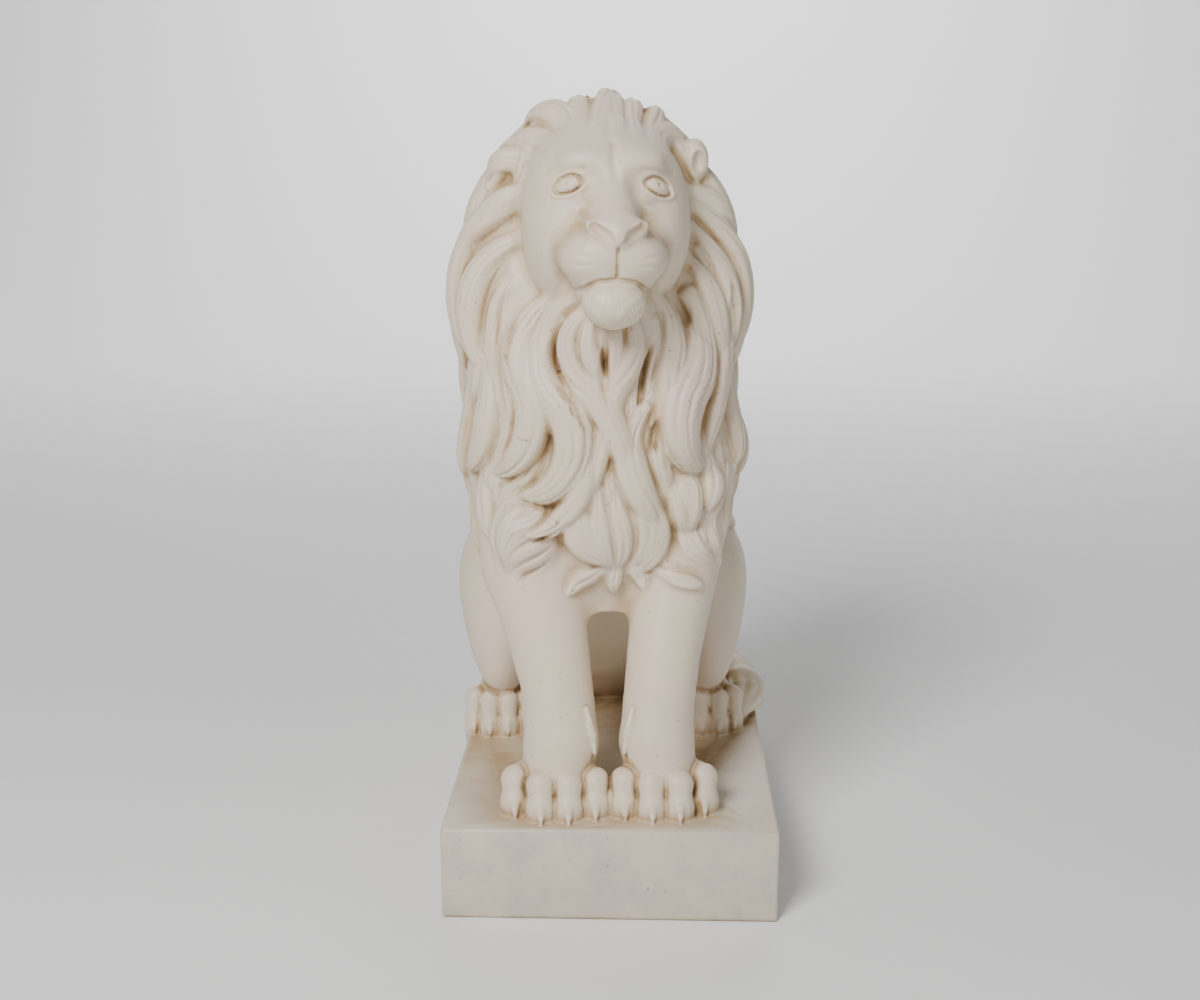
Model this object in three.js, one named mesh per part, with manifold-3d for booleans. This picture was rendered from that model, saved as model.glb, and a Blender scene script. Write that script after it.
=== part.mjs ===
// Seated lion, cast in one with the rectangular plinth it sits on.
// Millimetres, +Z up. The lion looks along -Y and the origin is at the middle of the plinth's underside.
// The figure is modelled as clay: masses that melt into each other, with the mane's locks laid on top.
import * as THREE from "three";
import { triTable } from "three/addons/objects/MarchingCubes.js";
import { mergeVertices } from "three/addons/utils/BufferGeometryUtils.js";
import Module from "manifold-3d";

// Driving dimensions
const PLINTH = { width: 150, depth: 240, height: 43, corner: 3, edge: 1.5 };
const TOP = PLINTH.height;
const SUNK = 4; // how far the figure's foot runs down into the plinth
const FIGURE_TURN = 3; // degrees, the whole figure on its plinth, towards +X
const FIGURE_PIVOT = [-1, -105]; // between the front paws
const HEAD = { centre: [-1, -62, 306], yaw: 4.5, pitch: 0, roll: -1.5 };
const CELL = 2.5; // the size of the cells that the clay is measured in
const FACES = 8900; // triangles of the figure

const degrees = THREE.MathUtils.degToRad;

// Distance functions: negative inside, positive outside
function eggDistance(p, centre, radii) {
  let nearer = 0;
  let steeper = 0;
  for (let i = 0; i < 3; i++) {
    const offset = (p[i] - centre[i]) / radii[i];
    nearer += offset * offset;
    steeper += (offset / radii[i]) ** 2;
  }
  const out = Math.sqrt(nearer);
  return steeper < 1e-12 ? -Math.min(...radii) : (out * (out - 1)) / Math.sqrt(steeper);
}

// A rod with round ends of two radii.
function rodDistance(p, from, fromRadius, to, toRadius) {
  let along = 0;
  let length2 = 0;
  for (let i = 0; i < 3; i++) {
    along += (p[i] - from[i]) * (to[i] - from[i]);
    length2 += (to[i] - from[i]) ** 2;
  }
  const t = Math.min(1, Math.max(0, along / length2));
  let away = 0;
  for (let i = 0; i < 3; i++) away += (p[i] - from[i] - t * (to[i] - from[i])) ** 2;
  return Math.sqrt(away) - (fromRadius + t * (toRadius - fromRadius));
}

// The nearer of two distances, with the joint between them rounded over the width of melt.
function join(a, b, melt) {
  const overlap = Math.max(melt - Math.abs(a - b), 0);
  return Math.min(a, b) - (overlap * overlap) / (4 * melt);
}

const carve = (a, b, melt) => -join(-a, b, melt);

// Pieces of clay, each with the width over which it melts into what is there already
const egg = (centre, radii, melt, tilt = 0) => {
  const cos = Math.cos(degrees(tilt));
  const sin = Math.sin(degrees(tilt));
  return {
    melt,
    distance: (p) => {
      const y = p[1] - centre[1];
      const z = p[2] - centre[2];
      return eggDistance([p[0] - centre[0], cos * y + sin * z, cos * z - sin * y], [0, 0, 0], radii);
    },
  };
};
const rod = (from, fromRadius, to, toRadius, melt) => ({
  melt,
  distance: (p) => rodDistance(p, from, fromRadius, to, toRadius),
});
const gathered = (pieces, p, start = 1e3) =>
  pieces.reduce((field, piece) => join(field, piece.distance(p), piece.melt), start);

// Trunk, haunches and legs. What stands off the middle stands on both sides.
const FORELEG_TOES = [
  { x: 7, tip: -107 },
  { x: 19.5, tip: -111.5 },
  { x: 32, tip: -111.5 },
  { x: 43.5, tip: -102 },
];
const HIND_TOES = [
  { x: 43, tip: -5 },
  { x: 52, tip: -11 },
  { x: 61, tip: -11 },
  { x: 69.5, tip: -4 },
];
const toe = ({ x, tip }, radius, rise, melt) => {
  const knuckle = [x, tip + 1.5 * radius, TOP + rise - 2];
  return [
    rod([x, tip + 3.4 * radius, TOP + rise], radius, knuckle, radius, melt),
    rod(knuckle, radius, [x, tip + 0.9 * radius, TOP + 4], 0.9 * radius, melt),
  ];
};
const BODY = [
  rod([0, -22, 205], 50, [0, 55, 106], 52, 8),
  egg([0, -42, 180], [44, 38, 50], 16),
  rod([0, -28, 170], 30, [0, 50, 97], 32, 14),
  egg([0, 75, 62], [44, 36, 30], 14),
  egg([47, 42, 106], [28, 50, 46], 10),
  egg([44, 30, 122], [27, 38, 32], 14),
  egg([52, 12, 94], [16, 24, 34], 10, -12),
  rod([44, 62, 54], 12, [53, 6, 53], 11, 5),
  egg([55.5, 6, 50], [16.5, 14, 12], 4),
  ...HIND_TOES.flatMap((t) => toe(t, 4.8, 11, 0.6)),
  rod([36, -38, 195], 26, [31, -62, 138], 21.5, 10),
  rod([31, -62, 138], 21.5, [21, -82, 80], 16.5, 8),
  rod([21, -82, 80], 16.5, [23.5, -88, 60], 16, 6),
  egg([25, -87, 53], [21, 18, 14], 5),
  ...FORELEG_TOES.flatMap((t) => toe(t, 6.1, 14, 0.6)),
  egg([7.5, -86, 79], [2.8, 3.4, 8], 1),
];

// Tail, laid round the right haunch, with its tuft beside the hind paw
const TAIL_LINE = [
  [-4, 104, 66],
  [26, 107, 54],
  [56, 100, 52],
  [71, 78, 52],
  [75, 54, 53],
  [75, 34, 52],
  [71, 10, 47],
];
const TAIL_RADII = [11, 9.5, 8.5, 8, 8.5, 11, 4];
const TAIL_MELT = 5;
const TAIL = TAIL_LINE.slice(1).map((point, i) =>
  rod(TAIL_LINE[i], TAIL_RADII[i], point, TAIL_RADII[i + 1], TAIL_MELT),
);

// Mane: a bell about an upright axis, given by its reach to the side, front and back at each height
const MANE = {
  axis: -30,
  shift: -3.5, // the bell hangs a little to the left
  melt: 9,
  heights: [128, 150, 172, 200, 240, 270, 300, 322, 340, 352, 358],
  side: [26, 43, 51, 58, 61, 64, 59, 49, 36, 25, 7],
  front: [39, 47, 52, 54, 51, 40, 28, 27, 25, 20, 7],
  back: [16, 30, 41, 56, 68, 72, 68, 58, 44, 28, 9],
  square: 2.3, // 2 is an ellipse, more is squarer
};

const SCALP = egg([-1, -55, 316], [33, 34, 32], 8);

// Values along heights, eased from one to the next
function profile(heights, values, z) {
  const last = heights.length - 1;
  if (z <= heights[0]) return values[0];
  if (z >= heights[last]) return values[last];
  const i = heights.findIndex((height) => height > z) - 1;
  const t = (z - heights[i]) / (heights[i + 1] - heights[i]);
  const slope = (k) =>
    k <= 0 || k >= last ? 0 : (values[k + 1] - values[k - 1]) / (heights[k + 1] - heights[k - 1]);
  const span = heights[i + 1] - heights[i];
  return (
    values[i] * (1 + 2 * t) * (1 - t) ** 2 +
    slope(i) * span * t * (1 - t) ** 2 +
    values[i + 1] * t * t * (3 - 2 * t) +
    slope(i + 1) * span * t * t * (t - 1)
  );
}

function maneDistance([x, y, z]) {
  const low = MANE.heights[0];
  const high = MANE.heights[MANE.heights.length - 1];
  const level = Math.min(high, Math.max(low, z));
  const side = profile(MANE.heights, MANE.side, level);
  const reach = profile(MANE.heights, y < MANE.axis ? MANE.front : MANE.back, level);
  const out = Math.max(0.01, Math.hypot(x - MANE.shift, y - MANE.axis));
  const across = Math.max(0.01, Math.abs(x - MANE.shift)) / out;
  const along = Math.max(0.01, Math.abs(y - MANE.axis)) / out;
  const edge = ((across / side) ** MANE.square + (along / reach) ** MANE.square) ** (-1 / MANE.square);
  const beyond = Math.abs(z - level);
  const gap = (out - edge) * 0.8;
  return gap > 0 || beyond > 0 ? Math.hypot(Math.max(gap, 0), beyond) : gap;
}

// Head, in its own frame: x across, -y ahead, z up, from the middle of the skull
const SKULL = [
  egg([0, 2, 8], [34.5, 34, 31], 4),
  egg([21, 3, -5], [15.5, 22, 22], 8),
  egg([0, -28, -14], [20, 25, 14], 10),
  rod([0, -13, 13], 15, [0, -41, -3], 10.5, 10),
  egg([14, -24, -3], [15, 17, 14], 10),
  egg([10.5, -37.5, -16], [12.5, 13, 9], 7),
  egg([0, -47, -4.5], [11, 6.5, 6], 4),
  egg([8.6, -46, -6], [4.6, 6, 4.4], 3),
  egg([0, -22, -30], [16.5, 27, 13], 8),
  egg([0, -43, -33], [13.2, 13, 10.8], 1.5),
  egg([10, -23, 24], [10, 6.5, 5.5], 8),
];
const SOCKETS = [egg([16.8, -34.5, 14.6], [9, 8, 6.6], 4)];
const EYES = [egg([16.5, -21.5, 14.4], [8, 7.5, 6.6], 0.8)];
const CREASES = [
  rod([0, -62, -23], 1.5, [17, -46, -27.5], 1, 2),
  rod([0, -53.5, -10], 1, [0, -53, -23], 1.2, 1.6),
  rod([11, -50.5, -2.5], 2, [4.5, -55, -8], 1.6, 1.6),
  rod([0, -31.5, 31], 1.6, [0, -33, 20], 0.8, 2.5),
];

const headPlace = new THREE.Matrix4()
  .makeTranslation(...HEAD.centre)
  .multiply(
    new THREE.Matrix4().makeRotationFromEuler(
      new THREE.Euler(degrees(-HEAD.pitch), degrees(-HEAD.roll), degrees(HEAD.yaw), "ZYX"),
    ),
  );
const toHead = headPlace.clone().invert();
const scratch = new THREE.Vector3();
function headDistance(p) {
  scratch.fromArray(p).applyMatrix4(toHead);
  const q = [Math.abs(scratch.x), scratch.y, scratch.z];
  let field = gathered(SKULL, q);
  for (const socket of SOCKETS) field = carve(field, socket.distance(q), socket.melt);
  field = gathered(EYES, q, field);
  for (const crease of CREASES) field = carve(field, crease.distance(q), crease.melt);
  return field;
}

// The coat is what the locks lie on: the body and the bell of the mane
function coatDistance(p) {
  const mirrored = [Math.abs(p[0]), p[1], p[2]];
  const bell = join(gathered(BODY, mirrored), maneDistance(p), MANE.melt);
  return join(bell, SCALP.distance(p), SCALP.melt);
}

// The direction in which the coat's surface faces
function facing(p) {
  const step = 0.5;
  const slope = new THREE.Vector3();
  [0, 1, 2].forEach((axis) => {
    const ahead = p.toArray();
    const behind = p.toArray();
    ahead[axis] += step;
    behind[axis] -= step;
    slope.setComponent(axis, coatDistance(ahead) - coatDistance(behind));
  });
  return slope.divideScalar(2 * step);
}
function settle(p) {
  for (let i = 0; i < 3; i++) {
    const slope = facing(p);
    p.addScaledVector(slope, -coatDistance(p.toArray()) / Math.max(0.05, slope.lengthSq()));
  }
  return p;
}

// Where a line from a point inside the coat comes out of it
function comesOut(from, way) {
  let inside = 0;
  let outside = 140;
  for (let i = 0; i < 22; i++) {
    const middle = (inside + outside) / 2;
    if (coatDistance(from.clone().addScaledVector(way, middle).toArray()) < 0) inside = middle;
    else outside = middle;
  }
  return from.clone().addScaledVector(way, inside);
}
const FORWARD = new THREE.Vector3(0, -1, 0);
const onFront = (x, z) => comesOut(new THREE.Vector3(x, MANE.axis, z), FORWARD);
const onFlank = (around, level) =>
  comesOut(
    new THREE.Vector3(0, MANE.axis, level),
    new THREE.Vector3(Math.sin(degrees(around)), -Math.cos(degrees(around)), 0),
  );

// A lock: a rod that walks over the coat. Its heading is in degrees from straight down, towards +X.
// It bends through the first angle in its first half and through the second in its second half.
const LOCK_STEPS = 10;
const LOCK_SINK = 0.1;
function lock(start, [heading, firstBend, secondBend, length, width]) {
  const at = settle(start.clone());
  let up = facing(at).normalize();
  const down = new THREE.Vector3(0, 0, -1).projectOnPlane(up).normalize();
  const way = down.applyAxisAngle(up, degrees(heading));
  const points = [];
  const radii = [];
  for (let i = 0; i <= LOCK_STEPS; i++) {
    const t = i / LOCK_STEPS;
    const radius = width * (0.6 + 0.4 * Math.sin(Math.PI * t ** 0.8)) * (1 - 0.75 * t ** 3.5);
    radii.push(radius);
    points.push(at.clone().addScaledVector(up, -LOCK_SINK * radius).toArray());
    const bend = ((t < 0.5 ? firstBend : secondBend) * 2) / LOCK_STEPS;
    way.applyAxisAngle(up, degrees(bend));
    settle(at.addScaledVector(way, length / LOCK_STEPS));
    up = facing(at).normalize();
    way.projectOnPlane(up).normalize();
  }
  const middle = points[LOCK_STEPS / 2];
  const reach = Math.max(...points.map((p) => Math.hypot(...p.map((v, k) => v - middle[k])))) + width;
  return { points, radii, middle, reach };
}

// The locks seen from the front: x and z of the root, then heading, two bends, length and half width
const FRONT_LOCKS = {
  crown: [
    [-12, 338, -156, 0, 10, 60, 6.5],
    [-4, 340, -172, 0, 5, 64, 6.5],
    [4, 340, 174, 0, -5, 64, 6.5],
    [11, 338, 160, 0, -8, 62, 6.5],
    [18, 334, 150, -5, -15, 58, 6.5],
  ],
  leftSwirl: [
    [-19, 334, -160, 40, 45, 60, 8],
    [-25, 329, -135, 45, 45, 56, 6.5],
    [-30, 323, -110, 40, 35, 56, 6.5],
    [-33, 320, -95, 30, 25, 60, 6.5],
    [-36, 314, -85, 25, 20, 62, 6.5],
    [-37, 308, -92, 60, 45, 92, 7],
    [-34, 295, -80, 75, 40, 82, 7],
  ],
  rightSwirl: [
    [25, 329, 150, -45, -50, 54, 6.5],
    [30, 323, 125, -60, -60, 34, 5.5],
    [34, 320, 92, -25, -25, 52, 6.5],
    [38, 317, 82, -45, -25, 88, 7],
    [37, 304, 66, -45, -12, 82, 7],
    [34, 289, 60, -45, -12, 66, 6.5],
  ],
  beard: [
    [-25, 279, -65, 75, 45, 70, 7],
    [-9, 268, -55, 90, -35, 77, 7.5],
    [-6, 262, -30, 50, 5, 36, 4.5],
    [-5, 260, -5, 20, -35, 76, 5],
    [5, 260, 5, -20, 0, 80, 7],
    [14, 260, 12, -35, 25, 52, 6],
    [19, 270, 40, -50, -12, 54, 5.5],
    [31, 274, 32, -55, 85, 88, 10],
    [41, 272, 30, -45, 0, 64, 6.5],
  ],
  breast: [
    [-60, 256, -18, 22, 0, 34, 7],
    [-53, 251, 30, -5, -100, 68, 8.5],
    [-61, 240, 25, -30, -45, 54, 7.5],
    [-33, 238, 48, -60, -62, 86, 7.5],
    [-16, 226, 30, -52, -66, 76, 6.5],
    [-55, 206, -18, 30, 10, 36, 7],
    [12, 226, -10, 26, 12, 54, 6.5],
    [57, 250, 5, -10, -20, 54, 7.5],
    [58, 212, 5, -15, -10, 40, 7],
    [37, 200, -25, 25, 50, 34, 8.5],
    [47, 203, -5, 0, 0, 34, 7],
  ],
  fringe: [
    [-15, 182, 0, 26, 26, 38, 8.5],
    [0, 192, 0, 5, 5, 42, 7],
    [13, 190, 20, -26, -20, 44, 8.5],
    [-23, 178, -60, -5, 15, 34, 7.5],
    [-21, 164, -55, -15, -10, 30, 7],
    [-19, 154, -40, 10, 10, 18, 6.5],
    [21, 167, 62, 10, 10, 32, 7],
    [19, 154, 75, 10, 0, 26, 6],
    [-7, 150, -40, 15, 10, 20, 5.5],
    [4, 147, 10, 0, 0, 18, 5],
  ],
};

// The locks of the crown, sides and back, in rows: each leans and bends against its neighbours
const CROWN_ROW = { level: 352, from: 40, turn: 28, length: 38, width: 7.5 };
const FLANK_ROWS = [338, 312, 286, 260, 234, 208, 184];
const FLANK = { from: 84, turn: 19, lean: 16, bend: 32, length: 50, width: 8.5 };
const SIX = [0, 1, 2, 3, 4, 5];
const leaning = (odd, { lean = 10, bend = 25, length, width }) => {
  const way = odd ? 1 : -1;
  return [way * lean, -way * bend, way * bend, length, width];
};
const FLANK_LOCKS = [1, -1].flatMap((side) => [
  ...SIX.map((i) => ({
    around: side * (CROWN_ROW.from + CROWN_ROW.turn * i),
    level: CROWN_ROW.level,
    shape: leaning(i % 2, CROWN_ROW),
  })),
  ...FLANK_ROWS.flatMap((level, row) =>
    SIX.map((i) => ({
      around: side * (FLANK.from + FLANK.turn * (i + 0.5 * (row % 2))),
      level,
      shape: leaning((i + row) % 2, FLANK),
    })),
  ),
]);
const LOCKS = [
  ...Object.values(FRONT_LOCKS)
    .flat()
    .map(([x, z, ...shape]) => lock(onFront(x, z), shape)),
  ...FLANK_LOCKS.map(({ around, level, shape }) => lock(onFlank(around, level), shape)),
];

const LOCK_MELT = 1.2;
const HEAD_MELT = 3;
function figureDistance(p) {
  let field = coatDistance(p);
  for (const { points, radii, middle, reach } of LOCKS) {
    if (Math.hypot(p[0] - middle[0], p[1] - middle[1], p[2] - middle[2]) > reach + 2 * CELL) continue;
    let strand = 1e3;
    for (let i = 1; i < points.length; i++) {
      strand = Math.min(strand, rodDistance(p, points[i - 1], radii[i - 1], points[i], radii[i]));
    }
    field = join(field, strand, LOCK_MELT);
  }
  field = gathered(TAIL, p, field);
  field = join(field, headDistance(p), HEAD_MELT);
  return Math.max(field, TOP - SUNK - p[2]);
}

// The clay's surface: cells of a grid, each cut by the triangles that its corners call for
const CORNERS = [
  [0, 0, 0],
  [1, 0, 0],
  [1, 1, 0],
  [0, 1, 0],
  [0, 0, 1],
  [1, 0, 1],
  [1, 1, 1],
  [0, 1, 1],
];
const EDGES = [
  [0, 1],
  [1, 2],
  [3, 2],
  [0, 3],
  [4, 5],
  [5, 6],
  [7, 6],
  [4, 7],
  [0, 4],
  [1, 5],
  [2, 6],
  [3, 7],
];

function surfaceOf(distance, low, high, cell) {
  const count = low.map((l, i) => Math.ceil((high[i] - l) / cell) + 1);
  const at = (i, j, k) => i + count[0] * (j + count[1] * k);
  const field = new Float32Array(count[0] * count[1] * count[2]);
  for (let k = 0; k < count[2]; k++)
    for (let j = 0; j < count[1]; j++)
      for (let i = 0; i < count[0]; i++)
        field[at(i, j, k)] = distance([low[0] + i * cell, low[1] + j * cell, low[2] + k * cell]);
  const vertices = [];
  const faces = [];
  const known = new Map();
  const vertexOn = (a, b, cellAt) => {
    const from = CORNERS[a].map((c, n) => c + cellAt[n]);
    const to = CORNERS[b].map((c, n) => c + cellAt[n]);
    const key = at(...from) * 3 + from.findIndex((c, n) => c !== to[n]);
    if (!known.has(key)) {
      const start = field[at(...from)];
      const t = Math.min(0.95, Math.max(0.05, start / (start - field[at(...to)])));
      known.set(key, vertices.length);
      vertices.push(from.map((c, n) => low[n] + cell * (c + t * (to[n] - c))));
    }
    return known.get(key);
  };
  for (let k = 0; k < count[2] - 1; k++)
    for (let j = 0; j < count[1] - 1; j++)
      for (let i = 0; i < count[0] - 1; i++) {
        let kind = 0;
        CORNERS.forEach(([x, y, z], n) => {
          if (field[at(i + x, j + y, k + z)] > 0) kind |= 1 << n;
        });
        for (let n = kind * 16; triTable[n] !== -1; n += 3) {
          faces.push([0, 1, 2].map((m) => vertexOn(...EDGES[triTable[n + m]], [i, j, k])));
        }
      }
  return { vertices, faces };
}

// Thinning: edges whose loss shows least are drawn together, so carving keeps more faces than flat stretches
function quadricOf(a, b, c) {
  const u = b.map((v, i) => v - a[i]);
  const w = c.map((v, i) => v - a[i]);
  const n = [u[1] * w[2] - u[2] * w[1], u[2] * w[0] - u[0] * w[2], u[0] * w[1] - u[1] * w[0]];
  const area = Math.hypot(...n) || 1e-12;
  const [x, y, z] = n.map((v) => v / area);
  const d = -(x * a[0] + y * a[1] + z * a[2]);
  return [x * x, x * y, x * z, x * d, y * y, y * z, y * d, z * z, z * d, d * d].map((v) => v * area);
}
const lossAt = (q, [x, y, z]) =>
  q[0] * x * x + q[4] * y * y + q[7] * z * z + q[9] +
  2 * (q[1] * x * y + q[2] * x * z + q[5] * y * z + q[3] * x + q[6] * y + q[8] * z);
const normalOf = ([a, b, c]) => {
  const u = b.map((v, i) => v - a[i]);
  const w = c.map((v, i) => v - a[i]);
  return [u[1] * w[2] - u[2] * w[1], u[2] * w[0] - u[0] * w[2], u[0] * w[1] - u[1] * w[0]];
};

function bestPlace(q, a, b) {
  const middle = a.map((v, i) => (v + b[i]) / 2);
  const size = Math.hypot(...a.map((v, i) => v - b[i]));
  const m = new THREE.Matrix3().set(q[0], q[1], q[2], q[1], q[4], q[5], q[2], q[5], q[7]);
  const places = [a, b, middle];
  if (Math.abs(m.determinant()) > 1e-6 * (q[0] + q[4] + q[7]) ** 3) {
    const best = new THREE.Vector3(-q[3], -q[6], -q[8]).applyMatrix3(m.invert()).toArray();
    if (Math.hypot(...best.map((v, i) => v - middle[i])) < size) places.push(best);
  }
  return places.map((place) => ({ place, loss: lossAt(q, place) })).sort((s, t) => s.loss - t.loss)[0];
}

// How much a loss counts: most in the face, then in the paws and the front of the mane
function care([x, y, z]) {
  if (z > 255 && y < -72 && Math.abs(x) < 42) return 7;
  if (z < TOP + 26 && y < 6) return 3;
  return y < -20 ? 1.2 : 0.5;
}

function thinned({ vertices, faces }, wanted) {
  const places = vertices.map((v) => [...v]);
  const quadrics = places.map(() => new Array(10).fill(0));
  const around = places.map(() => new Set());
  faces.forEach((face, f) => {
    const weight = care(places[face[0]]);
    const q = quadricOf(...face.map((v) => places[v]));
    face.forEach((v) => {
      around[v].add(f);
      q.forEach((value, i) => (quadrics[v][i] += weight * value));
    });
  });
  const neighbours = (v) => new Set([...around[v]].flatMap((f) => faces[f]).filter((w) => w !== v));
  const stamp = new Uint32Array(places.length);
  const heap = [];
  const swap = (i, j) => ([heap[i], heap[j]] = [heap[j], heap[i]]);
  const push = (entry) => {
    heap.push(entry);
    for (let i = heap.length - 1; i > 0 && heap[i].loss < heap[(i - 1) >> 1].loss; i = (i - 1) >> 1) {
      swap(i, (i - 1) >> 1);
    }
  };
  const pop = () => {
    swap(0, heap.length - 1);
    const entry = heap.pop();
    for (let i = 0; ; ) {
      const lighter = (m, c) => (c < heap.length && heap[c].loss < heap[m].loss ? c : m);
      const least = [2 * i + 1, 2 * i + 2].reduce(lighter, i);
      if (least === i) return entry;
      swap(i, least);
      i = least;
    }
  };
  const offer = (a, b) => {
    const q = quadrics[a].map((v, i) => v + quadrics[b][i]);
    const { place, loss } = bestPlace(q, places[a], places[b]);
    const span = Math.hypot(...places[a].map((v, i) => v - places[b][i]));
    push({ a, b, place, loss: loss + 1e-4 * span, q, stamps: [stamp[a], stamp[b]] });
  };
  places.forEach((_, v) => neighbours(v).forEach((w) => v < w && offer(v, w)));

  let left = faces.length;
  while (left > wanted && heap.length) {
    const { a, b, place, q, stamps } = pop();
    if (stamp[a] !== stamps[0] || stamp[b] !== stamps[1] || !around[a].size || !around[b].size) continue;
    const shared = [...around[a]].filter((f) => around[b].has(f));
    const near = neighbours(b);
    const common = [...neighbours(a)].filter((v) => near.has(v));
    if (shared.length !== 2 || common.length !== 2) continue; // the surface would pinch
    const turned = [a, b].some((v) =>
      [...around[v]].some((f) => {
        if (shared.includes(f)) return false;
        const before = normalOf(faces[f].map((w) => places[w]));
        const after = normalOf(faces[f].map((w) => (w === v ? place : places[w])));
        const sizes = Math.hypot(...before) * Math.hypot(...after) || 1e-12;
        return before.reduce((sum, n, i) => sum + n * after[i], 0) / sizes < 0.35;
      }),
    );
    if (turned) continue;
    shared.forEach((f) => faces[f].forEach((v) => around[v].delete(f)));
    shared.forEach((f) => (faces[f] = null));
    around[b].forEach((f) => {
      faces[f] = faces[f].map((v) => (v === b ? a : v));
      around[a].add(f);
    });
    around[b].clear();
    places[a] = place;
    quadrics[a] = q;
    stamp[a]++;
    stamp[b]++;
    left -= 2;
    neighbours(a).forEach((v) => offer(a, v));
  }
  return { vertices: places, faces: faces.filter(Boolean) };
}

const solidShape = ({ vertices, faces }) =>
  new THREE.BufferGeometry()
    .setAttribute("position", new THREE.Float32BufferAttribute(vertices.flat(), 3))
    .setIndex(faces.flat());

// Plinth: a slab with its corners and edges a little rounded
function plinthShape() {
  const { width, depth, height, corner, edge } = PLINTH;
  const [x, y, r] = [width / 2 - edge, depth / 2 - edge, corner];
  const outline = new THREE.Shape()
    .moveTo(-x + r, -y)
    .lineTo(x - r, -y)
    .absarc(x - r, -y + r, r, -Math.PI / 2, 0)
    .lineTo(x, y - r)
    .absarc(x - r, y - r, r, 0, Math.PI / 2)
    .lineTo(-x + r, y)
    .absarc(-x + r, y - r, r, Math.PI / 2, Math.PI)
    .lineTo(-x, -y + r)
    .absarc(-x + r, -y + r, r, Math.PI, 1.5 * Math.PI);
  return new THREE.ExtrudeGeometry(outline, {
    depth: height - 2 * edge,
    bevelEnabled: true,
    bevelThickness: edge,
    bevelSize: edge,
    bevelSegments: 2,
    curveSegments: 3,
  }).translate(0, 0, edge);
}

// One solid: the figure, turned on its plinth and joined to it
const wasm = await Module();
wasm.setup();
function solidOf(shape) {
  const bare = shape.clone();
  bare.deleteAttribute("normal");
  bare.deleteAttribute("uv");
  const merged = mergeVertices(bare, 1e-3);
  return new wasm.Manifold(
    new wasm.Mesh({
      numProp: 3,
      vertProperties: merged.attributes.position.array,
      triVerts: new Uint32Array(merged.index.array),
    }),
  );
}

const LOW = [-96, -132, 33];
const HIGH = [102, 132, 378];
const figure = solidShape(thinned(surfaceOf(figureDistance, LOW, HIGH, CELL), FACES))
  .translate(-FIGURE_PIVOT[0], -FIGURE_PIVOT[1], 0)
  .rotateZ(degrees(FIGURE_TURN))
  .translate(...FIGURE_PIVOT, 0);
const casting = solidOf(plinthShape()).add(solidOf(figure)).getMesh();
const castingShape = new THREE.BufferGeometry()
  .setAttribute("position", new THREE.BufferAttribute(casting.vertProperties, 3))
  .setIndex(new THREE.BufferAttribute(casting.triVerts, 1));
castingShape.computeVertexNormals();

const castStone = new THREE.MeshStandardMaterial({ color: 0xd8d0c0, roughness: 0.62, metalness: 0 });
const lion = new THREE.Mesh(castingShape, castStone);
lion.name = "lion_on_plinth";

const sculpture = new THREE.Group();
sculpture.add(lion);
export default sculpture;
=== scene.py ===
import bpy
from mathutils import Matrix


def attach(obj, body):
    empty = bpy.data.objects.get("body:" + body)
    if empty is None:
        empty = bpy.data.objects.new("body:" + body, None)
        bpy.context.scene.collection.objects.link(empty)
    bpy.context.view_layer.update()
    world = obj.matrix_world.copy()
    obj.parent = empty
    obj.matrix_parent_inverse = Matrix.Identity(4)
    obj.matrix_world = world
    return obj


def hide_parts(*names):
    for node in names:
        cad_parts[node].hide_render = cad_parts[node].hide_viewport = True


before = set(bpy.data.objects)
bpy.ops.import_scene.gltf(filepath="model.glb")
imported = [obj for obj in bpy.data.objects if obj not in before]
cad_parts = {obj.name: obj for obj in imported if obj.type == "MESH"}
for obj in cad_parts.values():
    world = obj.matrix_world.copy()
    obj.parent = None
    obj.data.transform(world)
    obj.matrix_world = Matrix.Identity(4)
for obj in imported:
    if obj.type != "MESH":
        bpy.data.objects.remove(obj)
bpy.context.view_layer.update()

import math

import bmesh
import bpy
import numpy as np
from mathutils import Vector

# The lion and its plinth: one solid casting in ivory stone-filled resin, poured into a mould taken from a
# carved original. Locks, toes and face come out of the mould; the creases are toned tan by hand afterwards,
# and the finish below adds painted shade in the recesses over that toning.
MM = 0.001
PLINTH = np.array([150.0, 240.0, 43.0])
PLINTH_EDGE = 1.6
TOP = PLINTH[2]
FIGURE_TURN = math.radians(3)  # the figure stands a little turned on its plinth
FIGURE_PIVOT = np.array([-1.0, -105.0, 0.0])
turned = np.array([
    [math.cos(FIGURE_TURN), -math.sin(FIGURE_TURN), 0],
    [math.sin(FIGURE_TURN), math.cos(FIGURE_TURN), 0],
    [0, 0, 1],
])


def to_figure(points):
    return (points - FIGURE_PIVOT) @ turned + FIGURE_PIVOT * [1, 1, 0]


def unit(vectors):
    return vectors / np.maximum(1e-9, np.linalg.norm(vectors, axis=1, keepdims=True))


# Clay: distances in millimetres from masses that melt into each other, negative inside
def egg(points, centre, radii, tilt=0):
    offset = points - np.array(centre, float)
    if tilt:
        cos, sin = math.cos(math.radians(tilt)), math.sin(math.radians(tilt))
        y, z = offset[:, 1].copy(), offset[:, 2].copy()
        offset[:, 1], offset[:, 2] = cos * y + sin * z, cos * z - sin * y
    scaled = offset / np.array(radii, float)
    out = np.sqrt(np.einsum("ij,ij->i", scaled, scaled))
    steep = scaled / np.array(radii, float)
    return out * (out - 1) / np.maximum(1e-6, np.sqrt(np.einsum("ij,ij->i", steep, steep)))


def rod(points, start, start_radius, end, end_radius):
    start, end = np.array(start, float), np.array(end, float)
    along = end - start
    offset = points - start
    t = np.clip(offset @ along / (along @ along), 0, 1)
    offset -= t[:, None] * along
    return np.sqrt(np.einsum("ij,ij->i", offset, offset)) - (start_radius + t * (end_radius - start_radius))


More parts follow.
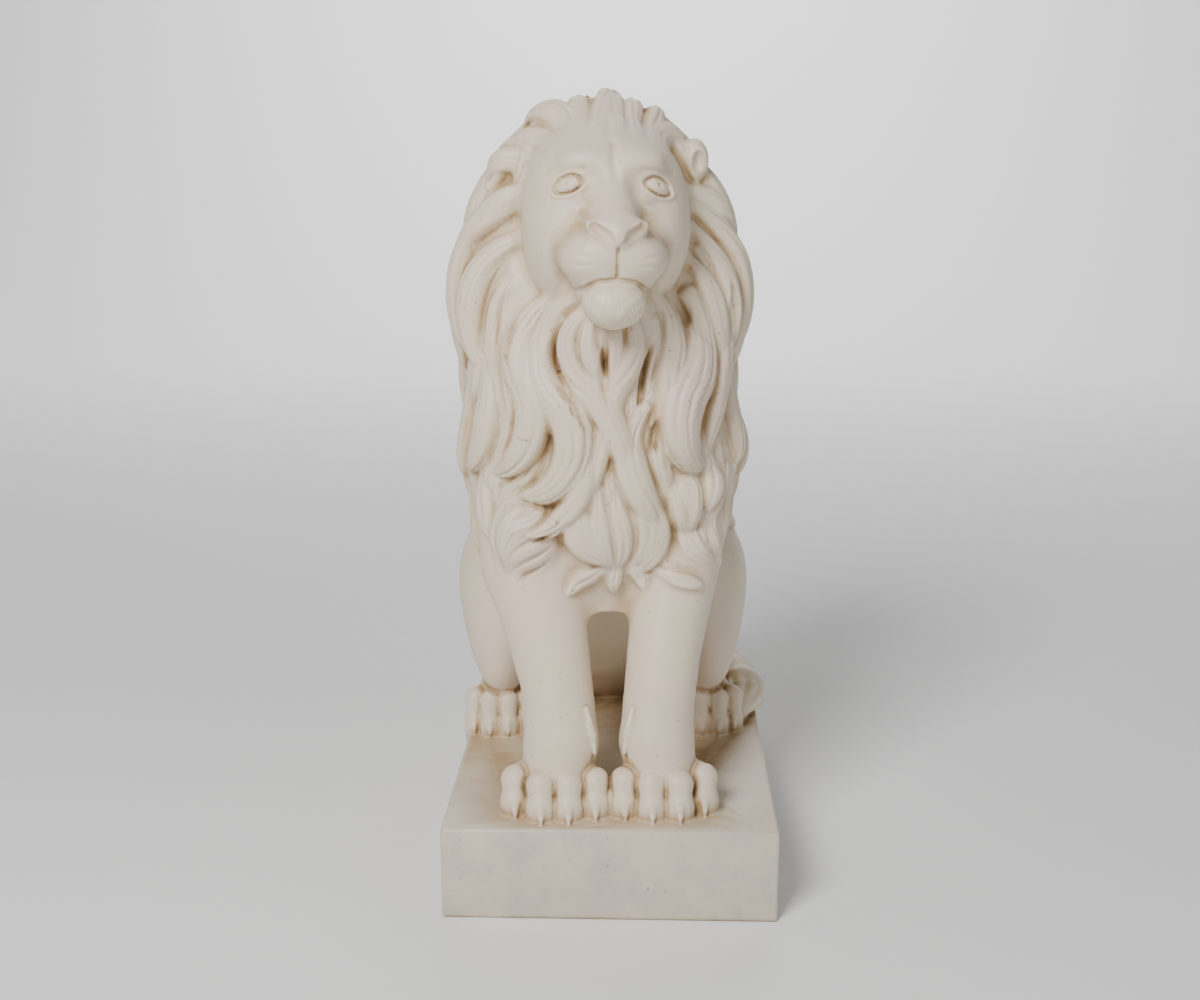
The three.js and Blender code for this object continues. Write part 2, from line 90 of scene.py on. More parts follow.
def join(a, b, melt):
    overlap = np.maximum(melt - np.abs(a - b), 0)
    return np.minimum(a, b) - overlap * overlap / (4 * melt)


def carve(a, b, melt):
    return -join(-a, b, melt)


def gathered(points, pieces, field=None, where=None):
    field = np.full(len(points), 1e3) if field is None else field
    near = np.nonzero(where)[0] if where is not None else slice(None)
    part, some = field[near], points[near]
    for shape, sizes, melt in pieces:
        part = join(part, shape(some, *sizes), melt)
    field[near] = part
    return field


def toe(x, tip, radius, rise, middle, melt):
    inner = (0.55 * x + 0.45 * middle, tip + 3.4 * radius, TOP + 0.95 * rise)
    knuckle = (x, tip + 1.6 * radius, TOP + rise)
    bend = (x, tip + 1.2 * radius, TOP + 0.62 * rise)
    pad = (x, tip + 1.05 * radius, TOP + 0.36 * rise)
    claw = (x, tip + 0.2 * radius, TOP + 0.46 * rise)
    return [
        (rod, (inner, 0.9 * radius, knuckle, 0.97 * radius), melt),
        (rod, (knuckle, 0.98 * radius, bend, 0.84 * radius), 0.3),
        (rod, (pad, 1.03 * radius, (x, tip + 1.1 * radius, TOP - 3), 0.98 * radius), melt),
        (rod, (claw, 0.34 * radius, (x, tip - 0.14 * radius, TOP + 0.08 * rise), 0.12 * radius), 0.8),
    ]


FORE_TOES = [(6.6, -109.5), (18.7, -113), (31, -113), (42.6, -106)]
HIND_TOES = [(40.5, -7), (49.5, -11), (58.5, -11), (66.5, -6)]
TRUNK = [
    (rod, ((0, -22, 205), 50, (0, 55, 106), 52), 8),
    (egg, ((0, -42, 180), (44, 38, 50)), 16),
    (rod, ((0, -28, 170), 30, (0, 50, 97), 32), 14),
    (egg, ((0, 75, 62), (44, 36, 30)), 14),
    (egg, ((47, 42, 106), (28, 50, 46)), 10),
    (egg, ((44, 30, 122), (27, 38, 32)), 14),
    (egg, ((52, 12, 94), (16, 24, 34), -12), 10),
    (rod, ((36, -38, 195), 26, (32, -58, 152), 21), 10),
    (rod, ((32, -58, 152), 21, (29.2, -65, 132), 18.4), 0.5),
    (rod, ((29.2, -65, 132), 18.4, (25.5, -74, 110), 16.7), 0.5),
    (rod, ((25.5, -74, 110), 16.7, (22.9, -81, 88), 16.3), 0.5),
]
HIND_FEET = [
    (rod, ((44, 62, 54), 12, (54, 14, 58), 12), 5),
    (egg, ((54, 11, 52), (16, 14, 14)), 3),
    *[piece for x, tip in HIND_TOES for piece in toe(x, tip, 5.3, 17.5, 54, 1.4)],
]
FORE_FEET = [
    (rod, ((22.9, -81, 88), 16.3, (21.8, -86, 72), 16.8), 0.5),
    (rod, ((21.8, -86, 72), 16.8, (23.5, -88, 60), 16.5), 2),
    (egg, ((25, -88, 48), (20, 14, 10)), 3),
    (egg, ((0, -94, 46), (7, 12, 11)), 2),
    *[piece for x, tip in FORE_TOES for piece in toe(x, tip, 6.9, 14, 25, 1.4)],
    (rod, ((10.5, -93, 90), 1, (8, -95, 78), 2.2), 1),
    (rod, ((8, -95, 78), 2.2, (6.6, -96, 69), 0.7), 0.5),
]
TAIL_LINE = [
    (-4, 104, 66), (26, 107, 54), (56, 100, 52), (71, 78, 52),
    (75, 54, 53), (75, 34, 52), (71, 10, 47),
]
TAIL_RADII = [11, 9.5, 8.5, 8, 8.5, 11, 4]
TAIL = [
    (rod, (TAIL_LINE[i], TAIL_RADII[i], TAIL_LINE[i + 1], TAIL_RADII[i + 1]), 5)
    for i in range(len(TAIL_LINE) - 1)
]
TUFT_STRANDS, TUFT_ROOT, TUFT_TIP = 7, np.array([75, 37, 54]), np.array([70.5, 8, 47])
for i in range(TUFT_STRANDS):
    turn = math.pi * (i / (TUFT_STRANDS - 1) * 1.2 - 0.1)
    out = np.array([math.cos(turn), 0, math.sin(turn)])
    middle = TUFT_ROOT * 0.55 + TUFT_TIP * 0.45 + out * [10, 0, 7.5]
    TAIL.append((rod, (TUFT_ROOT + out * 6.5, 3, middle, 3), 1))
    TAIL.append((rod, (middle, 3, TUFT_TIP + out * [3.5, 0, 3] + [0, 4 * math.cos(turn), 0], 1), 1))

# The bell of the mane: its reach to the side, front and back at each height
MANE_AXIS, MANE_SHIFT, MANE_SQUARE, MANE_MELT = -30, -3.5, 2.3, 9
MANE_HEIGHTS = np.array([128, 150, 172, 200, 240, 270, 300, 322, 340, 352, 358.0])
MANE_SIDE = np.array([26, 43, 51, 58, 61, 64, 59, 49, 36, 25, 7.0])
MANE_FRONT = np.array([39, 47, 52, 54, 51, 40, 28, 27, 25, 20, 7.0])
MANE_BACK = np.array([16, 30, 41, 56, 68, 72, 68, 58, 44, 28, 9.0])
SCALP = [
    (egg, ((-1, -55, 316), (33, 34, 32)), 8),
    (egg, ((0, -68, 262), (25, 23, 24)), 10),
    (egg, ((-41, -40, 326), (8, 9, 10)), 4),
]


def profile(values, z):
    slopes = np.zeros(len(values))
    slopes[1:-1] = (values[2:] - values[:-2]) / (MANE_HEIGHTS[2:] - MANE_HEIGHTS[:-2])
    i = np.clip(np.searchsorted(MANE_HEIGHTS, z, side="right") - 1, 0, len(values) - 2)
    span = MANE_HEIGHTS[i + 1] - MANE_HEIGHTS[i]
    t = np.clip((z - MANE_HEIGHTS[i]) / span, 0, 1)
    return (
        values[i] * (1 + 2 * t) * (1 - t) ** 2
        + slopes[i] * span * t * (1 - t) ** 2
        + values[i + 1] * t * t * (3 - 2 * t)
        + slopes[i + 1] * span * t * t * (t - 1)
    )


def mane(points):
    x, y, z = points.T
    level = np.clip(z, MANE_HEIGHTS[0], MANE_HEIGHTS[-1])
    reach = np.where(y < MANE_AXIS, profile(MANE_FRONT, level), profile(MANE_BACK, level))
    out = np.maximum(0.01, np.hypot(x - MANE_SHIFT, y - MANE_AXIS))
    across = np.maximum(0.01, np.abs(x - MANE_SHIFT)) / out / profile(MANE_SIDE, level)
    along = np.maximum(0.01, np.abs(y - MANE_AXIS)) / out / reach
    edge = (across**MANE_SQUARE + along**MANE_SQUARE) ** (-1 / MANE_SQUARE)
    beyond = np.abs(z - level)
    gap = (out - edge) * 0.8
    return np.where((gap > 0) | (beyond > 0), np.hypot(np.maximum(gap, 0), beyond), gap)


CUSHIONS = [
    (egg, ((-36, -72, 165), (16.5, 15, 20), 12), 3),
    (egg, ((33, -72, 181), (9, 9, 14)), 2),
    (egg, ((45, -62, 182), (7.5, 10, 12)), 2),
    (egg, ((36, -67, 160), (14, 11, 9)), 3),
    (egg, ((34, -67, 150), (12, 9, 8)), 4),
]
SHOULDER = [
    (rod, ((-42, -40, 185), 22, (-38, -57, 148), 20), 8),
    (rod, ((-38, -57, 148), 20, (-28, -74, 108), 15), 4),
]


def coat(points):
    mirrored = np.column_stack([np.abs(points[:, 0]), points[:, 1], points[:, 2]])
    y, z = points[:, 1], points[:, 2]
    field = gathered(mirrored, TRUNK)
    field = gathered(mirrored, HIND_FEET, field, (z < 90) & (y > -40) & (y < 100))
    field = gathered(mirrored, FORE_FEET, field, (z < 120) & (y < -50))
    field = gathered(points, SHOULDER, field, (z > 80) & (y < 0) & (points[:, 0] < 0))
    high = np.nonzero(z > 100)[0]
    field[high] = join(field[high], mane(points[high]), MANE_MELT)
    field = gathered(points, CUSHIONS, field, (z > 120) & (z < 215) & (y < 0))
    return gathered(points, SCALP, field, (z > 215) & (y < 0))


# The head, in its own turned frame
HEAD_CENTRE = np.array([-1.0, -62.0, 306.0])
HEAD_YAW, HEAD_ROLL = math.radians(4.5), math.radians(1.5)
head_turn = np.array([
    [math.cos(HEAD_YAW), -math.sin(HEAD_YAW), 0],
    [math.sin(HEAD_YAW), math.cos(HEAD_YAW), 0],
    [0, 0, 1],
]) @ np.array([
    [math.cos(HEAD_ROLL), 0, math.sin(HEAD_ROLL)],
    [0, 1, 0],
    [-math.sin(HEAD_ROLL), 0, math.cos(HEAD_ROLL)],
])
SKULL = [
    (egg, ((0, 2, 8), (34.5, 34, 31)), 4),
    (egg, ((17, 2, -11), (18, 26, 28)), 8),
    (egg, ((18, -8, -5), (15.5, 21.5, 19)), 10),
    (rod, ((0, -13, 13), 15, (0, -41, -2), 9.5), 9),
    (egg, ((0, -28, -14), (18.5, 23, 13)), 9),
    (egg, ((10.5, -35, -15), (12.3, 14, 10.5)), 9),
    (egg, ((0, -46, -2), (11, 6.5, 4.5)), 4),
    (egg, ((0, -49.5, -5), (5.4, 5.5, 6)), 2),
    (egg, ((9.6, -44.5, -1.2), (3.6, 5.5, 3.2)), 2.5),
    (egg, ((0, -22, -28), (15, 27, 13)), 8),
    (egg, ((11, -21, 25), (10, 7, 5)), 8),
    (egg, ((0, -40.5, -33), (13.4, 13, 11)), 1.2),
]
HOLLOWS = [
    (egg, ((11, -38, 16.5), (5, 8, 5.5)), 6),
    (rod, ((10.4, -49, -1), 1.6, (5, -53.6, -5), 2.2), 1.2),
    (rod, ((5, -53.6, -5), 1.9, (0.6, -55, -10.5), 0.9), 1),
]
# creases seen from the front: both ends in x and z, spread, depth
CREASES = [
    ((0.2, -9.5), (0, -22.5), 1.1, 1),
    ((0, 31), (0, 18), 3, 0.9),
    ((0, -22.4), (8, -23.6), 1.6, 0.8),
    ((8, -23.6), (13, -27), 1.6, 0.8),
    ((13, -27), (17.5, -29.5), 2, 0.8),
    ((9.5, 12), (11.5, 3), 4.5, 1),
    ((14, -3), (22.5, -12), 5, 0.7),
    ((22.5, -12), (19, -27), 5, 0.65),
    ((12, 7.5), (25, 8), 2.4, 0.5),
    ((12.5, 21.5), (26, 20), 2.5, 0.5),
    ((12, -13.5), (19, -12.8), 1, 0.4),
    ((11, -17), (18.5, -17.3), 1, 0.45),
]
FACE_FRONT, EYES_FOOT = -12, 2  # the relief starts this far forward, the eyes this high
CHIN_MIDDLE, CHIN_SPREAD, CHIN_FRONT, CHIN_HALF, CHIN_STROKES = -34, 14, -40, 14, 0.3
EYE = np.array([19.6, -26.5, 14.4])
EYE_OUT = unit(np.array([[0.42, -0.90, 0.10]]))[0]
EYE_SIDE = unit(np.cross([[0, 0, 1]], -EYE_OUT))[0]
EYE_UP = np.cross(-EYE_OUT, EYE_SIDE)
EYE_HALF, EYE_ABOVE, EYE_BELOW, EYE_SLANT = 6.3, 4.2, 3.4, 0.2


def bump(value, middle, spread):
    return np.clip(1 - ((value - middle) / spread) ** 2, 0, 1) ** 2


def eye(own):
    offset = own - EYE
    side, rise = offset @ EYE_SIDE, offset @ EYE_UP
    rise = rise - EYE_SLANT * side
    around = np.hypot(side / EYE_HALF, rise / np.where(rise > 0, EYE_ABOVE, EYE_BELOW))
    edge = (around - 1) * EYE_ABOVE
    rim = np.where(rise > 0, 0.5, 0.8) * bump(edge, 1.3, 1.4)
    ball = 1.6 * np.clip(1 - around**2, 0, 1) ** 0.8
    pupil = 1.1 * bump(np.hypot(side + 0.2, rise - 0.9), 0, 1.5)
    return 0.8 * bump(edge, 0, 1) + 0.6 * bump(edge, -1, 4) - rim - ball + pupil


def head(points):
    own = (points - HEAD_CENTRE) @ head_turn
    own[:, 0] = np.abs(own[:, 0])
    field = gathered(own, SKULL)
    for shape, sizes, melt in HOLLOWS:
        field = carve(field, shape(own, *sizes), melt)
    front = np.nonzero(own[:, 1] < FACE_FRONT)[0]
    seen = own[front]
    across, forward, high = seen.T
    relief = eye(seen) * (high > EYES_FOOT)
    creases = np.zeros(len(front))
    flat = np.column_stack([across, 0 * across, high])
    for (x, z), (end_x, end_z), breadth, depth in CREASES:
        gap = rod(flat, (x, 0, z), 0, (end_x, 0, end_z), 0)
        creases = np.maximum(creases, depth * bump(gap, 0, breadth))
    chin = bump(high, CHIN_MIDDLE, CHIN_SPREAD) * (forward < CHIN_FRONT) * (across < CHIN_HALF)
    strokes = np.sin(2.6 * across + 0.8 * np.sin(0.7 * high)) * np.sin(0.9 * high + 1.7 * across)
    field[front] += relief + creases + CHIN_STROKES * chin * strokes
    return field


# The locks walk over the coat. Heading is in degrees from straight down towards +X; each bends through one
# angle in its first half and through another in its second half.
FRONT_LOCKS = [
    # x, z, heading, first bend, second bend, length, half width
    # crest
    (-12, 336, -152, -5, 10, 58, 5.6),
    (-4, 338, -174, -5, 5, 62, 5.6),
    (4, 338, 170, 0, -5, 64, 5.2),
    (11.5, 337, 152, 0, -10, 62, 4.8),
    (18, 334, 138, -5, -15, 58, 4.8),
    # left swirl
    (-18, 335, -165, 45, 50, 58, 7.5),
    (-24, 331, -150, 60, 50, 54, 6.5),
    (-29, 326, -125, 50, 30, 54, 6.5),
    (-32, 320, -88, 30, 20, 48, 6.5),
    (-35, 313, -82, 25, 30, 52, 6.5),
    (-40, 332, -70, 25, 30, 48, 6.5),
    (-44, 312, -75, 60, 50, 84, 7.5),
    (-33, 299, -78, 62, 42, 76, 8),
    # right swirl
    (23, 332, 160, -60, -60, 48, 6.5),
    (34, 318, 82, -30, -25, 46, 7),
    (37, 312, 62, -40, -35, 80, 8.5),
    (37, 302, 48, -35, -15, 62, 7),
    (33, 290, 48, -35, -12, 54, 6.5),
    # beard
    (-16, 276, -85, 125, -105, 108, 9.5),
    (-11, 275, -85, 125, -130, 120, 10),
    (-4, 270, -80, 115, -40, 94, 8),
    (-4, 270, -40, 55, 0, 54, 5),
    (1, 270, 10, -18, -5, 90, 6),
    (7, 270, 30, -50, 30, 64, 6.5),
    (19.5, 275, 35, -50, -5, 60, 7.5),
    (36, 272, 25, -62, 95, 86, 12),
    (49, 276, 10, -26, 8, 74, 7),
    # breast
    (-57, 254, -17, 10, 10, 30, 7),
    (-55, 244, 17, -25, -45, 58, 8),
    (-16, 226.5, 28, -40, -75, 74, 6.5),
    (-56, 195, -8, 25, 0, 32, 6.5),
    (16, 225.5, -45, 60, 25, 60, 8),
    (56, 247, 6, -8, -8, 54, 8),
    (44, 206, 19, -30, -25, 32, 6),
    # fringe
    (-22, 187, 12, 12, 60, 42, 6),
    (-15, 190, 5, 12, 35, 42, 5.5),
    (-6, 192, 3, 5, 12, 42, 5.5),
    (2, 192, 8, 5, -30, 40, 5.5),
    (9, 194, 32, -20, -50, 44, 6),
    (14, 190, 38, -30, -50, 44, 6.5),
    (0, 153, -62, 5, 10, 24, 5),
    (3, 155, 5, -10, 10, 18, 3.6),
    (9, 157, 22, 10, -10, 18, 3.6),
    (20, 152, 62, 10, 10, 26, 4),
]
# Deep channels between the locks, laid out in the same way
CHANNELS = [
    (-31, 278, -77, 50, 35, 38, 2.8),
    (-38, 265, -23, 20, 10, 24, 1.8),
    (-16.5, 267, -50, 70, 15, 62, 1.7),
    (-2, 258, -2, 0, 8, 33, 1.6),
    (20, 256, -20, 15, 25, 37, 1.5),
    (28, 273, 39, -15, -10, 28, 2.6),
    (21, 221, -8, 8, 8, 24, 2),
    (51, 279, 9, -15, -5, 28, 1.8),
    (-23, 172, -62, -5, 40, 30, 1),
    (-24, 164, -58, 5, 40, 26, 1),
    (-26, 156, -52, 5, 45, 22, 1),
]
CROWN_ROW = dict(level=352, start=66, turn=27, lean=10, bend=25, length=38, width=7.5)
FLANK_ROWS = [338, 312, 286, 260, 234, 208, 184]
FLANK = dict(start=84, turn=19, lean=16, bend=32, length=50, width=8.5)


def leaning(odd, row):
    way = 1 if odd else -1
    return (way * row["lean"], -way * row["bend"], way * row["bend"], row["length"], row["width"])


FLANK_LOCKS = []
for side in (1, -1):
    for i in range(5):
        around = side * (CROWN_ROW["start"] + CROWN_ROW["turn"] * i)
        FLANK_LOCKS.append((around, CROWN_ROW["level"], *leaning(i % 2, CROWN_ROW)))
    for row, level in enumerate(FLANK_ROWS):
        for i in range(6):
            around = side * (FLANK["start"] + FLANK["turn"] * (i + 0.5 * (row % 2)))
            FLANK_LOCKS.append((around, level, *leaning((i + row) % 2, FLANK)))


COAT_PROBE = 0.5


def facing(points):
    slopes = []
    for axis in range(3):
        step = np.zeros(3)
        step[axis] = COAT_PROBE
        slopes.append(coat(points + step) - coat(points - step))
    return np.array(slopes).T


def settle(points):
    for _ in range(3):
        slope = facing(points)
        points = points - slope * (coat(points) / np.maximum(0.05, (slope**2).sum(1)))[:, None]
    return points


def turned_about(vectors, axes, degrees):
    angle = np.radians(degrees)[:, None]
    cross = np.cross(axes, vectors)
    dot = (axes * vectors).sum(1, keepdims=True)
    return vectors * np.cos(angle) + cross * np.sin(angle) + axes * dot * (1 - np.cos(angle))


def come_out(start, way):
    inside, outside = np.zeros(len(start)), np.full(len(start), 140.0)
    for _ in range(22):
        middle = (inside + outside) / 2
        within = coat(start + middle[:, None] * way) < 0
        inside, outside = np.where(within, middle, inside), np.where(within, outside, middle)
    return start + inside[:, None] * way


LOCK_STEPS = 40
LEAF_FULL, LEAF_ROOT, UPRIGHT_ROOT = 0.5, 0.45, 0.3  # where a lock is widest, and its width at the root
UPRIGHT = 100  # a lock with a heading beyond this stands up
LOCK_SINK, LOCK_LIFT = 0.2, 0.5  # a lock's root lies in the coat and its tip stands off it
front = np.array(FRONT_LOCKS + CHANNELS, float)
flank = np.array(FLANK_LOCKS, float)
around = np.radians(flank[:, 0])
nothing = np.zeros(len(flank))
starts = np.vstack([
    come_out(
        np.column_stack([front[:, 0], np.full(len(front), MANE_AXIS), front[:, 1]]),
        np.tile([0.0, -1.0, 0.0], (len(front), 1)),
    ),
    come_out(
        np.column_stack([nothing, nothing + MANE_AXIS, flank[:, 1]]),
        np.column_stack([np.sin(around), -np.cos(around), nothing]),
    ),
])
heading, first_bend, second_bend, length, width = np.vstack([front[:, 2:], flank[:, 2:]]).T
carved = np.zeros(len(starts), bool)
carved[len(FRONT_LOCKS):len(front)] = True
at = settle(starts)
up = unit(facing(at))
down = np.array([0, 0, -1.0]) + up * up[:, 2:3]
way = turned_about(unit(down), up, heading)
lock_points, lock_ups, lock_ways, lock_widths = [], [], [], []
for i in range(LOCK_STEPS + 1):
    t = i / LOCK_STEPS
    grown = min(1, t / LEAF_FULL)
    root = np.where(np.abs(heading) > UPRIGHT, UPRIGHT_ROOT, LEAF_ROOT)
    leaf = root + (1 - root) * grown * grown * (3 - 2 * grown)
    taper = max(0.02, 1 - max(0, (t - LEAF_FULL) / (1 - LEAF_FULL)) ** 2) ** 0.6
    radius = width * leaf * taper
    rise = np.where(carved, 0.1 * radius, radius * (LOCK_LIFT * t - LOCK_SINK))
    lock_points.append(at + up * rise[:, None])
    lock_ups.append(up)
    lock_ways.append(way)
    lock_widths.append(radius)
    way = turned_about(way, up, (first_bend if t < 0.5 else second_bend) * 2 / LOCK_STEPS)
    at = settle(at + way * (length / LOCK_STEPS)[:, None])
    up = unit(facing(at))
    way = unit(way - up * (way * up).sum(1, keepdims=True))
lock_points, lock_ups = np.stack(lock_points, 1), np.stack(lock_ups, 1)
lock_ways, lock_widths = np.stack(lock_ways, 1), np.stack(lock_widths, 1)

# Thin under-locks comb along with their neighbours and fill the ground between
THIN_TOP, THIN_FOOT, THIN_ROW, THIN_SIDE, THIN_GAP = 334, 172, 14.0, 55, 10.0
THIN_LENGTH, THIN_HALF, THIN_CLEAR = 34, 4.4, 5
ground = np.array([
    (x + THIN_GAP / 2 * (row % 2), MANE_AXIS, z)
    for row, z in enumerate(np.arange(THIN_TOP, THIN_FOOT, -THIN_ROW))
    for x in np.arange(-THIN_SIDE, THIN_SIDE + 1, THIN_GAP)
])
at = come_out(ground, np.tile([0.0, -1.0, 0.0], (len(ground), 1)))
at = at[head(at) > THIN_CLEAR]
guide_places = lock_points[:len(FRONT_LOCKS)].reshape(-1, 3)
guide_ways = lock_ways[:len(FRONT_LOCKS)].reshape(-1, 3)
thin_points, thin_ups, thin_ways, thin_widths = [], [], [], []
for i in range(LOCK_STEPS + 1):
    t = i / LOCK_STEPS
    at = settle(at)
    up = unit(facing(at))
    pull = 1 / (((at[:, None, :] - guide_places[None]) ** 2).sum(2) + 6) ** 2
    way = unit(pull @ guide_ways)
    way = unit(way - up * (way * up).sum(1, keepdims=True))
    swell = 0.5 + 0.5 * math.sin(math.pi * min(1, t * 1.4) / 2)
    radius = np.full(len(at), THIN_HALF * swell * max(0.02, 1 - t**3) ** 0.6)
    thin_points.append(at - up * (0.4 * radius)[:, None])
    thin_ups.append(up)
    thin_ways.append(way)
    thin_widths.append(radius)
    at = at + way * (THIN_LENGTH / LOCK_STEPS)
lock_points = np.concatenate([lock_points, np.stack(thin_points, 1)])
lock_ups = np.concatenate([lock_ups, np.stack(thin_ups, 1)])
lock_ways = np.concatenate([lock_ways, np.stack(thin_ways, 1)])
lock_widths = np.concatenate([lock_widths, np.stack(thin_widths, 1)])
lock_sides = np.cross(lock_ups, lock_ways)
width = np.concatenate([width, np.full(len(at), THIN_HALF)])
carved = np.concatenate([carved, np.zeros(len(at), bool)])
STRAND_WIDTH = 2.8
strands = np.maximum(2, np.round(width / STRAND_WIDTH))
LOCK_MELT = 1.3
CHANNEL_DEPTH = 1.8
lock_lengths = np.linalg.norm(np.diff(lock_points, axis=1), axis=2).sum(1)
LOCK_RELIEF, UPRIGHT_RELIEF = 0.82, 0.68  # heights as a share of the half width
SLENDER, LEAST_SHARE, MOST_SHARE = 8, 0.6, 1.08  # stubby locks are flatter than slender ones
lock_heights = LOCK_RELIEF * np.clip(lock_lengths / width / SLENDER, LEAST_SHARE, MOST_SHARE)
lock_heights[:len(heading)][np.abs(heading) > UPRIGHT] = UPRIGHT_RELIEF
STRAND_DEPTH = 0.85
NEAR = 5  # every fifth step of a lock is enough to find what lies close to it


def lock(points, n):
    line, widths = lock_points[n], lock_widths[n]
    far = (points**2).sum(1)[:, None] - 2 * points @ line.T + (line**2).sum(1) - widths**2
    near = np.argmin(far, axis=1)
    gap = points - line[near]
    on = (gap * lock_ways[n][near]).sum(1)
    across = (gap * lock_sides[n][near]).sum(1)
    rise = (gap * lock_ups[n][near]).sum(1)
    stride = lock_lengths[n] / LOCK_STEPS
    radius = np.maximum(0.3, widths[near] + on * np.gradient(widths)[near] / stride)
    place = (near + on / stride) / LOCK_STEPS
    on = np.where(near == 0, np.minimum(on, 0), np.where(near == LOCK_STEPS, np.maximum(on, 0), 0))
    height = lock_heights[n] * radius
    wide = np.hypot(across, on)
    if carved[n]:
        return CHANNEL_DEPTH * bump(wide, 0, 2.2 * radius) * bump(place, 0.5, 0.6)
    low = np.where(rise > 0, rise / height, np.minimum(0, rise / radius + 2))
    field = (np.sqrt((wide / radius) ** 2 + low**2) - 1) * height
    phase = np.sign(across) * wide / radius + 0.12 * np.sin(6 * place + n)
    shift = 0 if strands[n] % 2 else 0.5
    wave = np.abs(np.cos(math.pi * (strands[n] / 2 * phase + shift)))
    depth = STRAND_DEPTH * (0.6 + 0.4 * np.sin(9 * place + 2.4 * n + 2 * phase))
    fade = np.clip(5 * place, 0, 1) * np.clip(radius / 4, 0, 1)
    return field + depth * (1 - wave) ** 1.5 * fade * np.clip((1 - wide / radius) / 0.25, 0, 1)


def close_to(points, n):
    marks = lock_points[n][::NEAR]
    reach = np.linalg.norm(np.diff(lock_points[n], axis=0), axis=1).max() * NEAR / 2 + width[n] * 1.2 + 3
    low, high = marks.min(0) - reach, marks.max(0) + reach
    near = np.nonzero(((points > low) & (points < high)).all(1))[0]
    gap = points[near][:, None, :] - marks[None]
    return near[(np.einsum("ijk,ijk->ij", gap, gap) < reach**2).any(1)]


FINE_LINES = 5  # combed lines on each strand


def comb(points):
    nearest = np.full(len(points), 1e3)
    lines = np.zeros(len(points))
    for n in np.nonzero(~carved)[0]:
        near = close_to(points, n)
        if not len(near):
            continue
        field = lock(points[near], n)
        closer = field < nearest[near]
        near, field = near[closer], field[closer]
        nearest[near] = field
        line, widths = lock_points[n], lock_widths[n]
        spot = points[near]
        far = (spot**2).sum(1)[:, None] - 2 * spot @ line.T + (line**2).sum(1) - widths**2
        step = np.argmin(far, axis=1)
        across = ((spot - line[step]) * lock_sides[n][step]).sum(1)
        lines[near] = across / np.maximum(1, widths[step]) * strands[n] * FINE_LINES + 1.7 * n
    return lines, np.clip(1.4 - nearest, 0, 1)


HEAD_MELT, HAIRLINE_MELT, HAIRLINE = 2.5, 7, (274, 300)
EAR = (egg, ((39, -42, 331), (6.5, 8, 9.5)), 2)
EAR_HOLLOW = (egg, ((41, -50.5, 330), (3.4, 4.5, 5.5)), 1.5)
GROUND_SINK, GROUND_TOP = 0.4, (135, 165)


def figure(points):
    y, z = points[:, 1], points[:, 2]
    field = coat(points)
    field += GROUND_SINK * np.clip((z - GROUND_TOP[0]) / (GROUND_TOP[1] - GROUND_TOP[0]), 0, 1)
    for n in np.argsort(carved, kind="stable"):
        near = close_to(points, n)
        if len(near) and carved[n]:
            field[near] += lock(points[near], n)
        elif len(near):
            field[near] = join(field[near], lock(points[near], n), LOCK_MELT)
    field = gathered(points, TAIL, field, (z < 100) & (y > -20))
    near = np.nonzero((z > 235) & (y < 0))[0]
    part = gathered(points[near], [EAR], field[near])
    part = carve(part, EAR_HOLLOW[0](points[near], *EAR_HOLLOW[1]), EAR_HOLLOW[2])
    up_hair = np.clip((z[near] - HAIRLINE[0]) / (HAIRLINE[1] - HAIRLINE[0]), 0, 1)
    melt = HEAD_MELT + (HAIRLINE_MELT - HEAD_MELT) * up_hair
    field[near] = join(part, head(points[near]), melt)
    return field


def plinth(points):
    beyond = np.abs(points - [0, 0, TOP / 2]) - (PLINTH / 2 - PLINTH_EDGE)
    outside = np.linalg.norm(np.maximum(beyond, 0), axis=1)
    return outside + np.minimum(beyond.max(1), 0) - PLINTH_EDGE


FOOT_MELT = 1.5


def casting(points):
    field = plinth(points)
    above = np.nonzero(points[:, 2] > TOP - 8)[0]
    field[above] = join(field[above], figure(to_figure(points[above])), FOOT_MELT)
    return field


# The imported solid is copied, merged and covered with small even faces, and each vertex is then moved onto the
# clay's surface, over again with smaller faces, so that the last covering follows the locks' grooves.
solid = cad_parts["lion_on_plinth"]
lion_mesh = solid.data.copy()
lion_mesh.name = "lion"
merging = bmesh.new()
merging.from_mesh(lion_mesh)
bmesh.ops.remove_doubles(merging, verts=merging.verts, dist=1e-6)
merging.to_mesh(lion_mesh)
merging.free()
lion_mesh.materials.clear()
lion = bpy.data.objects.new("lion", lion_mesh)
bpy.context.scene.collection.objects.link(lion)


def with_modifier(kind, **settings):
    modifier = lion.modifiers.new(kind.lower(), kind)
    for name, value in settings.items():
        setattr(modifier, name, value)
    shaped = bpy.data.meshes.new_from_object(lion.evaluated_get(bpy.context.evaluated_depsgraph_get()))
    lion.modifiers.clear()
    old, lion.data = lion.data, shaped
    bpy.data.meshes.remove(old)


CASTING_PROBE = 0.3


def steepest(points, field):
    slopes = []
    for axis in range(3):
        step = np.zeros(3)
        step[axis] = CASTING_PROBE
        slopes.append(casting(points + step) - field)
    return unit(np.array(slopes).T)


def sculpt(rounds, stride, within=None, downhill=False):
    mesh = lion.data
    places = np.empty(len(mesh.vertices) * 3)
    normals = np.empty(len(mesh.vertices) * 3)
    for _ in range(rounds):
        mesh.vertices.foreach_get("co", places)
        mesh.vertex_normals.foreach_get("vector", normals)
        points, outward = places.reshape(-1, 3) / MM, normals.reshape(-1, 3)
        some = np.arange(len(points)) if within is None else np.nonzero(within(points))[0]
        field = casting(points[some])
        outward = steepest(points[some], field) if downhill else outward[some]
        points[some] -= outward * np.clip(field, -stride, stride)[:, None]
        mesh.vertices.foreach_set("co", (points * MM).ravel())
        mesh.update()


